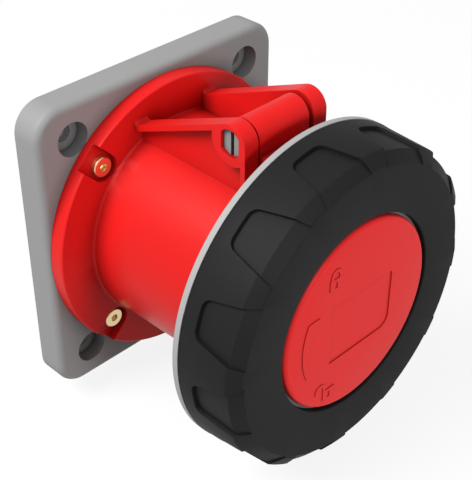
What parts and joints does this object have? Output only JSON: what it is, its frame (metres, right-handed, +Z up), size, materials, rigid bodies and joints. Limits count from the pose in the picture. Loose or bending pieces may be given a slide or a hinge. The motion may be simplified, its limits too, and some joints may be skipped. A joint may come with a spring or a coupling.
{
  "type": "industrial panel socket",
  "caption": "Round panel socket on a square base plate, with a flanged tube, a hinged bayonet lid with a rubber grip, and contact sleeves inside.",
  "frame": {"origin": "centre of the mounting face, in the plane of the base plate's back", "axes": "+Y into the panel, the socket opens along -Y, +Z up towards the lid's hinge"},
  "size_m": [0.1134, 0.0989, 0.1159],
  "materials": {
    "grey_plastic": "fine matt moulded",
    "red_plastic": "satin moulded",
    "black_rubber": "matt moulded rubber",
    "grey_rubber": "soft seal",
    "dark_plastic": "moulded insert",
    "brass": "turned",
    "steel": "zinc-plated"
  },
  "bodies": {
    "base": {"base_plate": "grey_plastic", "panel_gasket": "grey_rubber", "housing": "red_plastic", "housing_seal": "grey_rubber", "flange_screws": "brass", "contact_carrier": "dark_plastic", "carrier_screws": "steel", "contact_retainer": "dark_plastic", "retainer_screws": "steel", "contact_l1": "brass", "contact_l2": "brass", "contact_l3": "brass", "contact_neutral": "brass", "contact_earth": "brass", "contact_pilot": "brass", "terminal_screws": "steel", "hinge_pin": "grey_plastic"},
    "lid": {"lid_plate": "red_plastic", "lid_gasket": "grey_rubber", "cover_cap": "red_plastic", "cap_screws": "steel"},
    "ring": {"bayonet_ring": "grey_plastic", "grip_ring": "black_rubber"}
  },
  "joints": [
    {"name": "lid_hinge", "type": "hinge", "parent": "base", "child": "lid", "pos_m": [0, -0.0603, 0.0529], "axis": [-1, 0, 0], "range_deg": [0, 150]},
    {"name": "ring_turn", "type": "hinge", "parent": "lid", "child": "ring", "pos_m": [0, -0.09, 0], "axis": [0, 1, 0], "range_deg": [0, 30]}
  ]
}
